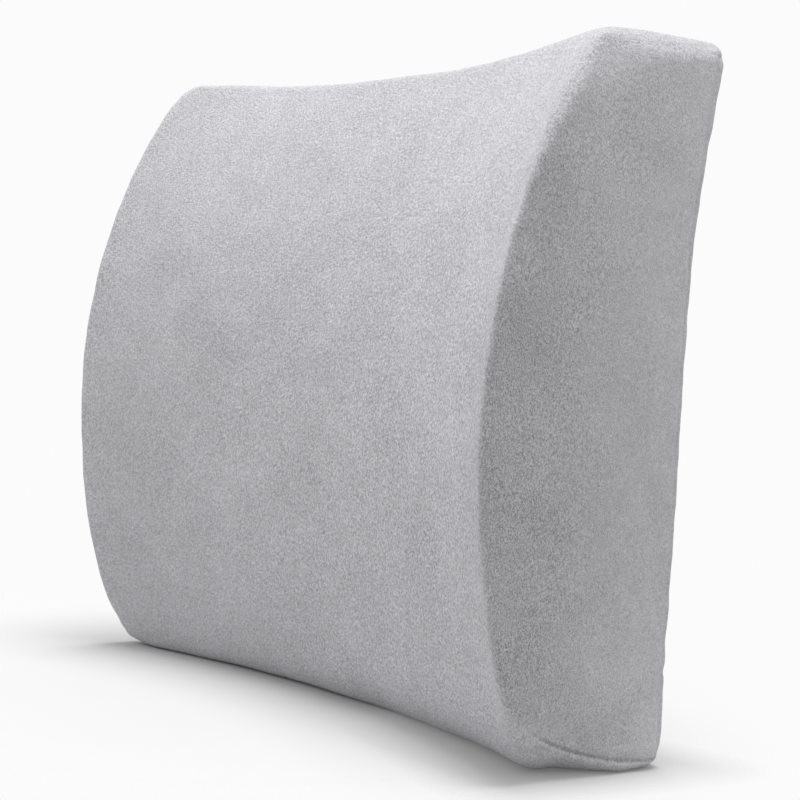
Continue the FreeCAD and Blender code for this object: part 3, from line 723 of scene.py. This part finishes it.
def shell(verts, faces, normals, mm):
    """A sheet given a thickness towards its inside, closed round its rims."""
    n = len(verts)
    edges = np.concatenate([faces[:, [k, (k + 1) % 4]] for k in range(4)])
    key = np.sort(edges, 1)
    _, first, count = np.unique(key[:, 0] * n + key[:, 1], return_index=True, return_counts=True)
    rim = edges[first[count == 1]]
    inner = faces[:, ::-1] + n
    wall = np.stack([rim[:, 1], rim[:, 0], rim[:, 0] + n, rim[:, 1] + n], 1)
    return (np.concatenate([verts, verts - normals * mm]), np.concatenate([faces, inner, wall]))


def finish_piece(o, body, slot, material, *nodes, pad=None):
    o.data.materials.clear()
    o.data.materials.append(material)
    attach(o, body)
    if nodes:
        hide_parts(*nodes)
    return o


def tube(points, ref, radius, sides=6):
    """A closed tube along points; ref is a direction across the tube at each."""
    points = np.asarray(points, float)
    ref = np.broadcast_to(np.asarray(ref, float), points.shape)
    radius = np.broadcast_to(np.asarray(radius, float), (len(points),))
    t = np.gradient(points, axis=0)
    t /= np.linalg.norm(t, axis=1)[:, None]
    n = ref - dot(ref, t)[:, None] * t
    n /= np.linalg.norm(n, axis=1)[:, None]
    b = np.cross(t, n)
    ang = np.arange(sides) * 2 * math.pi / sides
    ring_ = (points[:, None] + radius[:, None, None] *
             (np.cos(ang)[None, :, None] * n[:, None] + np.sin(ang)[None, :, None] * b[:, None]))
    verts = ring_.reshape(-1, 3)
    k = len(points)
    i, j = np.meshgrid(np.arange(k - 1), np.arange(sides), indexing="ij")
    j2 = (j + 1) % sides
    faces = np.stack([i * sides + j, i * sides + j2, (i + 1) * sides + j2, (i + 1) * sides + j], -1)
    faces = [tuple(f) for f in faces.reshape(-1, 4)]
    faces.append(tuple(range(sides))[::-1])
    faces.append(tuple(range((k - 1) * sides, k * sides)))
    return verts, faces


def joined(parts):
    """Several (verts, faces) as one."""
    verts, faces, base = [], [], 0
    for v, f in parts:
        verts.append(np.asarray(v))
        faces += [tuple(int(q) + base for q in g) for g in f]
        base += len(v)
    return np.concatenate(verts), faces


def stitch_line(path, out, length=2.5, gap=1.0, radius=0.30):
    """Stitches along a path of points, each a thread that dips in at both ends."""
    path = np.asarray(path, float)
    seg = np.linalg.norm(np.diff(path, axis=0), axis=1)
    arc = np.concatenate([[0], np.cumsum(seg)])
    n = max(1, int(arc[-1] // (length + gap)))
    pitch = arc[-1] / n
    made = []
    ts = np.array([0.0, 0.1, 0.25, 0.5, 0.75, 0.9, 1.0])
    fat = np.array([0.45, 0.8, 1.0, 1.0, 1.0, 0.8, 0.45])
    out = np.asarray(out, float)
    for k in range(n):
        s = k * pitch + (pitch - length) / 2 + length * ts
        c = np.stack([np.interp(s, arc, path[:, q]) for q in range(3)], 1)
        c = c + out * (0.26 * np.sin(math.pi * ts) - 0.10)[:, None]
        made.append(tube(c, out, radius * fat, 6))
    return made


def copy_node(node_name, piece_name, width, segments=3, more=()):
    """A CAD node's solid with its hard edges softened, and small ribs added."""
    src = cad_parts[node_name]
    me = src.data.copy()
    me.name = piece_name
    o = bpy.data.objects.new(piece_name, me)
    scene.collection.objects.link(o)
    o.matrix_world = Matrix.Identity(4)
    bm = bmesh.new()
    bm.from_mesh(me)
    bm.transform(src.matrix_world)
    bmesh.ops.remove_doubles(bm, verts=bm.verts, dist=2e-6)
    bmesh.ops.dissolve_limit(bm, angle_limit=math.radians(1.0), verts=bm.verts, edges=bm.edges)
    for lo, hi in more:
        geo = bmesh.ops.create_cube(bm, size=1.0)
        lo, hi = np.array(lo) / 1000.0, np.array(hi) / 1000.0
        for v in geo["verts"]:
            v.co = Vector((lo + hi) / 2 + (hi - lo) * np.array(v.co))
    bm.to_mesh(me)
    bm.free()
    me.polygons.foreach_set("use_smooth", [True] * len(me.polygons))
    b = o.modifiers.new("soft_edges", "BEVEL")
    b.width = width / 1000.0
    b.segments = segments
    b.limit_method = "ANGLE"
    b.angle_limit = math.radians(30)
    b.harden_normals = True
    b.use_clamp_overlap = True
    return apply_modifiers(o)


# ------------------------------------------------------------------- the cover
SLOT = (ZIP_Z - 6.2, ZIP_Z + 6.2)
raw, sides, xs, zs = closed_grid(2.0, slot=SLOT)
P = project(raw)
N = form_field(P)[1]
ALL = np.concatenate([grid_faces(v) for v in sides.values()])


def corner(x, z, reach):
    """1 at a corner of the front, falling to 0 at some millimetres from it."""
    tip = np.array([x, float(front_y(x, z)), z])
    return smooth(reach, reach * 0.25, np.linalg.norm(P - tip, axis=1))


soft = np.maximum.reduce([corner(W2, H, 34.0), corner(W2, 0.0, 34.0), corner(-W2, 0.0, 26.0),
                          0.4 * corner(-W2, H, 12.0)])
P = relax(P, ALL, soft, 110)
N = relax(N, ALL, np.maximum(soft, 0.15), 12)
N /= np.linalg.norm(N, axis=1)[:, None]
M_CREASE, M_BACK, M_LOW, M_TOP = 2, 4, 5, 5     # grid lines from a form's edge to its seam

k_low = int(np.argmin(np.abs(zs - SLOT[0])))
k_high = int(np.argmin(np.abs(zs - SLOT[1])))
k_zip = int(np.argmin(np.abs(zs - ZIP_Z)))
i_low = int(np.argmin(np.abs(xs + SLOT_X)))
i_high = int(np.argmin(np.abs(xs - SLOT_X)))
F_, K = sides["front"], sides["back"]
faces = {"wrap": [grid_faces(F_)], "left": [], "right": [], "upper": [], "lower": []}
a, b, c, d = M_CREASE, M_BACK, M_LOW, M_TOP
for name in ("left", "right"):
    S_ = sides[name]
    faces[name].append(grid_faces(S_[a:-b, c:-d]))
    faces["wrap"] += [grid_faces(S_[:a + 1, :]), grid_faces(S_[a:-b, :c + 1]),
                      grid_faces(S_[a:-b, -d - 1:]), grid_faces(S_[-b - 1:, :])]
faces["wrap"] += [grid_faces(sides["bottom"]), grid_faces(sides["top"]),
                  grid_faces(K[:, :c + 1]), grid_faces(K[:, -d - 1:])]
faces["lower"] += [grid_faces(K[:, c:k_low + 1]), grid_faces(K[:i_low + 1, k_low:k_zip + 1]),
                   grid_faces(K[i_high:, k_low:k_zip + 1])]
faces["upper"] += [grid_faces(K[:, k_high:-d]), grid_faces(K[:i_low + 1, k_zip:k_high + 1]),
                   grid_faces(K[i_high:, k_zip:k_high + 1])]

creases, seams, tops = [], [], []
for name in ("left", "right"):
    S_ = sides[name]
    creases.append(S_[a, c:-d])
    seams += [S_[-b - 1, c:-d], S_[a:-b, c]]
    tops.append(S_[a:-b, -d - 1])
seams += [K[:, c], K[:, -d - 1], K[:i_low + 1, k_zip], K[i_high:, k_zip]]
opening = [K[i_low:i_high + 1, k_low], K[i_low:i_high + 1, k_high], K[i_low, k_low:k_high + 1],
           K[i_high, k_low:k_high + 1]]
d_crease = distance_to(P, creases, P)
d_seam = distance_to(P, seams, P)
d_open = distance_to(P, opening, P)
d_top = distance_to(P, tops, P)

# the fabric is drawn in at its seams, gathers a little beside them, and lies
# slightly uneven over the foam
lift = -0.2 + 0.28 * waves(P, 11, 70.0) + 0.09 * waves(P, 12, 24.0)
lift -= 1.05 * np.exp(-(d_seam / 1.6) ** 2)
lift += 0.22 * np.exp(-((d_seam - 3.6) / 2.4) ** 2)
lift += 0.20 * np.exp(-(d_seam / 9.0) ** 2) * waves(P, 13, 11.0)
lift -= 0.10 * np.exp(-(d_top / 1.5) ** 2)
lift -= 0.08 * np.exp(-(d_crease / 1.3) ** 2)
lift += 0.10 * np.exp(-(d_crease / 8.0) ** 2) * waves(P, 14, 13.0)
lift += 0.55 * np.exp(-(d_open / 5.0) ** 4) - 0.95 * np.exp(-(d_open / 1.2) ** 2)
SKIN = P + N * lift[:, None]
SKIN[:, 2] = np.maximum(SKIN[:, 2], 0.0)


def vertex_normals(verts, faces, like):
    """Area-weighted normals of a closed net, on the side that like points to."""
    f = outward(verts, faces, like)
    n = np.cross(verts[f[:, 2]] - verts[f[:, 0]], verts[f[:, 3]] - verts[f[:, 1]])
    total = np.zeros_like(verts)
    for k in range(4):
        for q in range(3):
            total[:, q] += np.bincount(f[:, k], n[:, q], len(verts))
    return total / (np.linalg.norm(total, axis=1)[:, None] + 1e-12)


NS = vertex_normals(SKIN, ALL, N)


def panel(name, rows, thick, material, node_name):
    f = outward(P, np.concatenate(rows), N)
    used, local = np.unique(f, return_inverse=True)
    v, f = shell(SKIN[used], local.reshape(f.shape), N[used], thick)
    o = make_mesh(name, v, f)
    # the pile hides the joins, so shading runs on from panel to panel
    o.data.normals_split_custom_set_from_vertices([tuple(q) for q in np.concatenate([NS[used], -NS[used]])])
    return finish_piece(o, "cushion", "velour", material, node_name, pad=0.95)


panel("cover_front_and_edges", faces["wrap"], 1.6, M_VELOUR, "cover_front_wrap")
panel("cover_side_panel_left", faces["left"], 1.6, M_VELOUR, "cover_side_left")
panel("cover_side_panel_right", faces["right"], 1.6, M_VELOUR, "cover_side_right")
panel("cover_back_panel_upper", faces["upper"], 1.1, M_VELOUR, "cover_back_upper")
panel("cover_back_panel_lower", faces["lower"], 1.1, M_VELOUR, "cover_back_lower")

# rows of stitches beside the zip opening
rim = 2.5
edge_y = B + 0.62
made = []
for z in (SLOT[0] - rim, SLOT[1] + rim):
    q = np.linspace(-SLOT_X - rim, SLOT_X + rim, 60)
    made += stitch_line(np.stack([q, np.full(60, edge_y), np.full(60, z)], 1), (0, 1, 0))
for x in (-SLOT_X - rim, SLOT_X + rim):
    made += stitch_line([(x, edge_y, SLOT[0] - rim), (x, edge_y, SLOT[1] + rim)], (0, 1, 0))
o = make_mesh("zip_topstitching", *joined(made))
finish_piece(o, "cushion", "velour", M_THREAD)


# -------------------------------------------------------------- foam and liner
def inside_form(inset, deep):
    """The form inset, with the zip's channel pressed into its back."""
    raw_i, sides_i, xs_i, zs_i = closed_grid(4.0, end=1.6, count=6)
    scale = np.array([(W2 - inset) / W2, 1.0, (H - 2 * inset) / H])
    q = raw_i * scale
    q[:, 2] += inset
    q = project(q, inset)
    g = form_field(q, inset)[1]
    near = (smooth(13.0, 8.0, np.abs(q[:, 2] - ZIP_Z)) * smooth(158.0, 153.0, np.abs(q[:, 0]))
            * smooth(B - 12, B - 7, q[:, 1]))
    q[:, 1] -= deep * near
    for x, z in ((-W2, 0.0), (W2, 0.0), (-W2, H), (W2, H)):
        tip = np.array([x, float(front_y(x, z)), z])
        q -= g * (7.0 * smooth(46.0, 8.0, np.linalg.norm(q - tip, axis=1)))[:, None]
    q += g * (0.15 * waves(q, 21, 60.0))[:, None]
    f = np.concatenate([grid_faces(sides_i[k]) for k in ("front", "back", "left", "right", "bottom", "top")])
    return q, outward(q, f, g)


q, f = inside_form(3.6, 1.6)
o = make_mesh("foam_block", q, f)
finish_piece(o, "cushion", "foam", M_FOAM, "foam_core", pad=1.0)
q, f = inside_form(2.4, 1.6)
v, f = shell(q, f, form_field(q, 2.4)[1], 0.5)
o = make_mesh("inner_liner_bag", v, f)
finish_piece(o, "cushion", "lining", M_LINING, "inner_liner", pad=1.0)


# ------------------------------------------------------------------------- zip
def ribbon(path, across, z_mid, width, thick, ribs, rib_height, step=1.2):
    """Webbing along a path in the x-y plane, with ribs along its length.

    path is the middle line, across the number of columns over the width."""
    path = np.asarray(path, float)
    seg = np.linalg.norm(np.diff(path, axis=0), axis=1)
    arc = np.concatenate([[0], np.cumsum(seg)])
    fine = np.linspace(0, arc[-1], max(8, int(arc[-1] / 0.4)))
    line_ = np.stack([np.interp(fine, arc, path[:, q]) for q in range(2)], 1)
    for _ in range(6):
        line_[1:-1] = 0.5 * line_[1:-1] + 0.25 * (line_[:-2] + line_[2:])
    seg = np.linalg.norm(np.diff(line_, axis=0), axis=1)
    arc = np.concatenate([[0], np.cumsum(seg)])
    even = np.linspace(0, arc[-1], max(4, int(arc[-1] / step)))
    line_ = np.stack([np.interp(even, arc, line_[:, q]) for q in range(2)], 1)
    t = np.gradient(line_, axis=0)
    t /= np.linalg.norm(t, axis=1)[:, None]
    nrm = np.stack([-t[:, 1], t[:, 0]], 1)
    u = np.linspace(-1, 1, across + 1)
    half = thick / 2 * np.sqrt(np.clip(1 - np.abs(u) ** 16, 0.05, 1))
    half = half - rib_height * (0.5 - 0.5 * np.cos(math.pi * ribs * (u + 1)))
    z = z_mid + u * width / 2
    m, w = len(line_), len(u)
    top = np.zeros((m, w, 3))
    low = np.zeros((m, w, 3))
    top[..., 2] = low[..., 2] = z[None]
    for q in range(2):
        top[..., q] = line_[:, q][:, None] + nrm[:, q][:, None] * half[None]
        low[..., q] = line_[:, q][:, None] - nrm[:, q][:, None] * half[None]
    verts = np.concatenate([top.reshape(-1, 3), low.reshape(-1, 3)])
    it = np.arange(m * w).reshape(m, w)
    il = it + m * w
    f = [grid_faces(it)[:, ::-1], grid_faces(il)]
    loop_t = np.concatenate([it[:, 0], it[-1, 1:], it[-2::-1, -1], it[0, -2:0:-1]])
    loop_l = np.concatenate([il[:, 0], il[-1, 1:], il[-2::-1, -1], il[0, -2:0:-1]])
    nt_, nl_ = np.roll(loop_t, -1), np.roll(loop_l, -1)
    f.append(np.stack([loop_t, nt_, nl_, loop_l], -1))
    return verts, np.concatenate(f)


def fixed_normals(o):
    bm = bmesh.new()
    bm.from_mesh(o.data)
    bmesh.ops.recalc_face_normals(bm, faces=bm.faces)
    bm.to_mesh(o.data)
    bm.free()
    o.data.polygons.foreach_set("use_smooth", [True] * len(o.data.polygons))
    return o


for which in ("upper", "lower"):
    lo, hi = box_of("zip_tape_" + which)
    v, f = ribbon([(lo[0], (lo[1] + hi[1]) / 2), (hi[0], (lo[1] + hi[1]) / 2)], 30,
                  (lo[2] + hi[2]) / 2, hi[2] - lo[2], hi[1] - lo[1], 10, 0.10, 2.4)
    v[:, 1] += 0.06 * waves(v, 31, 22.0)
    o = fixed_normals(make_mesh("zip_tape_%s_woven" % which, v, f))
    finish_piece(o, "cushion", "zip_tape", M_TAPE, "zip_tape_" + which)
    lo, hi = box_of("zip_coil_" + which)
    s = 1 if which == "upper" else -1
    cz, cy = (lo[2] + hi[2]) / 2 - s * 0.10, (lo[1] + hi[1]) / 2
    pitch, per = 1.3, (12)
    turns = int((hi[0] - lo[0] - 0.8) / pitch)
    th = np.arange(turns * per + 1) * 2 * math.pi / per
    x = lo[0] + 0.4 + pitch * th / (2 * math.pi)
    zz = np.cos(th)
    helix = np.stack([x + (0.65 if s > 0 else 0.0), cy + 0.60 * np.sin(th), cz - s * 1.00 * zz], 1)
    ref = np.stack([np.zeros_like(th), np.sin(th), -s * zz], 1)
    fat = 0.24 + 0.06 * smooth(0.3, 1.0, zz)
    cord_ = np.stack([np.linspace(lo[0] + 0.2, hi[0] - 0.2, 140), np.full(140, cy), np.full(140, cz)], 1)
    sewn = stitch_line([(lo[0] + 0.6, cy + 0.80, cz + s * 0.35), (hi[0] - 0.6, cy + 0.80, cz + s * 0.35)],
                       (0, 1, 0), 2.2, 0.4, 0.17)
    v, f = joined([tube(helix, ref, fat, 6), tube(cord_, (0, 1, 0), 0.28, 6)] + sewn)
    o = fixed_normals(make_mesh("zip_coil_%s_helix" % which, v, f))
    finish_piece(o, "cushion", "coil", M_COIL, "zip_coil_" + which)
for which in ("start", "end"):
    o = copy_node("zip_stop_" + which, "zip_stop_%s_cast" % which, 0.35)
    finish_piece(o, "cushion", "zip_metal", M_METAL, "zip_stop_" + which)
o = copy_node("zip_slider", "zip_slider_cast", 0.22)
finish_piece(o, "zip_slider_body", "zip_metal", M_METAL, "zip_slider")
lo, hi = box_of("zip_pull")
pull_ribs = [((lo[0] + 8.0 + 1.6 * k, hi[1] - 0.15, ZIP_Z - 2.0), (lo[0] + 8.7 + 1.6 * k, hi[1] + 0.22, ZIP_Z + 2.0))
             for k in range(5)]
o = copy_node("zip_pull", "zip_pull_cast", 0.22, more=pull_ribs)
finish_piece(o, "zip_pull_body", "zip_metal", M_METAL, "zip_pull")

# ----------------------------------------------------------------------- strap
lo, hi = box_of("strap_right")
SH, SW, ST = (lo[2] + hi[2]) / 2, hi[2] - lo[2], hi[1] - lo[1]
FLAT = (lo[1] + hi[1]) / 2
BAR_Y = B + 1.2 + 5.0
LOOP = 2.6 + 0.4 + ST / 2


def fold_path(side, bar_x, lie_to, end_to):
    """From the flat run, round the buckle's bar and back to a sewn end."""
    pts = [(side * lie_to, FLAT), (side * (bar_x + 14), FLAT), (side * bar_x, BAR_Y - LOOP)]
    for k in range(1, 25):
        t = -math.pi / 2 - k * math.pi / 24
        pts.append((side * (bar_x + LOOP * math.cos(t)), BAR_Y + LOOP * math.sin(t)))
    pts += [(side * (bar_x + 15.5), FLAT + ST + 0.4), (side * end_to, FLAT + ST + 0.4)]
    return pts


def strap(name, path, body, node_name):
    v, f = ribbon(path, 96, SH, SW, ST + 0.1, 16, 0.16)
    o = fixed_normals(make_mesh(name, v, f))
    return finish_piece(o, body, "webbing", M_WEB, node_name)


strap("strap_left_webbing", fold_path(-1, 30.5, 152, 62), "cushion", "strap_left")
strap("strap_right_fold_webbing", fold_path(1, 26.5, 49.5, 58), "plug_body", "strap_right_fold")
o = strap("strap_right_webbing", [(50, FLAT), (100, FLAT), (152, FLAT)], "cushion", "strap_right")
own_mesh(o)


def box_stitch(x0, x1, y, cross=True):
    """A rectangle of stitches with a cross inside it."""
    z0, z1 = SH - SW / 2 + 3.0, SH + SW / 2 - 3.0
    runs = [[(x0, y, z0), (x1, y, z0)], [(x1, y, z0), (x1, y, z1)], [(x1, y, z1), (x0, y, z1)],
            [(x0, y, z1), (x0, y, z0)]]
    if cross:
        runs += [[(x0, y, z0), (x1, y, z1)], [(x0, y, z1), (x1, y, z0)]]
    out = []
    for r in runs:
        out += stitch_line(r, (0, 1, 0), 2.3, 0.9, 0.27)
    return out


top_y = FLAT + ST / 2
o = make_mesh("strap_sewing", *joined(box_stitch(-150.0, -134.0, top_y) + box_stitch(134.0, 150.0, top_y)
                                      + box_stitch(-60.0, -49.0, top_y + ST + 0.4, False)))
finish_piece(o, "cushion", "webbing", M_THREAD_DARK)
o = make_mesh("strap_fold_sewing", *joined(box_stitch(44.5, 56.0, top_y + ST + 0.4, False)))
finish_piece(o, "plug_body", "webbing", M_THREAD_DARK)

# ---------------------------------------------------------------------- buckle
lo, hi = box_of("buckle_socket")
ribs = [((-20.0 + 4.0 * k, hi[1] - 0.3, SH - 11.0 + 1.6 * k), (-18.4 + 4.0 * k, hi[1] + 0.45, SH + 11.0 - 1.6 * k))
        for k in range(4)]
o = copy_node("buckle_socket", "buckle_socket_moulded", 0.7, more=ribs)
finish_piece(o, "cushion", "buckle", M_BUCKLE, "buckle_socket")
lo, hi = box_of("buckle_plug")
ribs = [((7.0 + 3.4 * k, hi[1] - 0.3, SH - 15.0), (8.4 + 3.4 * k, hi[1] + 0.45, SH + 15.0)) for k in range(3)]
o = copy_node("buckle_plug", "buckle_plug_moulded", 0.7, more=ribs)
finish_piece(o, "plug_body", "buckle", M_BUCKLE, "buckle_plug")
for which in ("upper", "lower"):
    o = copy_node("buckle_prong_" + which, "buckle_prong_%s_moulded" % which, 0.5)
    finish_piece(o, "prong_%s_body" % which, "buckle", M_BUCKLE, "buckle_prong_" + which)

# ----------------------------------------------------------------------- label
lo, hi = box_of("care_label")
u = np.linspace(0, 1, 27)
w = np.linspace(0, 1, 39)
U_, W_ = np.meshgrid(u, w, indexing="ij")
LX = lo[0] + U_ * (hi[0] - lo[0])
LZ = lo[2] + W_ * (hi[2] - lo[2])
free = 1 - W_                                          # sewn along its top edge
LY = B + 0.75 + 1.5 * free ** 2 * (0.55 + 0.45 * np.cos(2.4 * (U_ - 0.35))) + 0.10 * np.sin(W_ * 9 + U_ * 4)
verts = np.stack([LX, LY, LZ], -1).reshape(-1, 3)
f = grid_faces(np.arange(27 * 39).reshape(27, 39))
f = outward(verts, f, np.tile([0.0, 1.0, 0.0], (len(verts), 1)))
o = make_mesh("care_label_blank", *shell(verts, f, np.tile([0.0, 1.0, 0.0], (len(verts), 1)), 0.22))
finish_piece(o, "cushion", "label", M_LABEL, "care_label")
o = make_mesh("label_stitching", *joined(stitch_line([(lo[0] + 1.2, B + 0.92, hi[2] - 1.8),
                                                     (hi[0] - 1.2, B + 0.92, hi[2] - 1.8)],
                                                    (0, 1, 0), 2.1, 0.9, 0.22)))
finish_piece(o, "cushion", "label", M_THREAD)
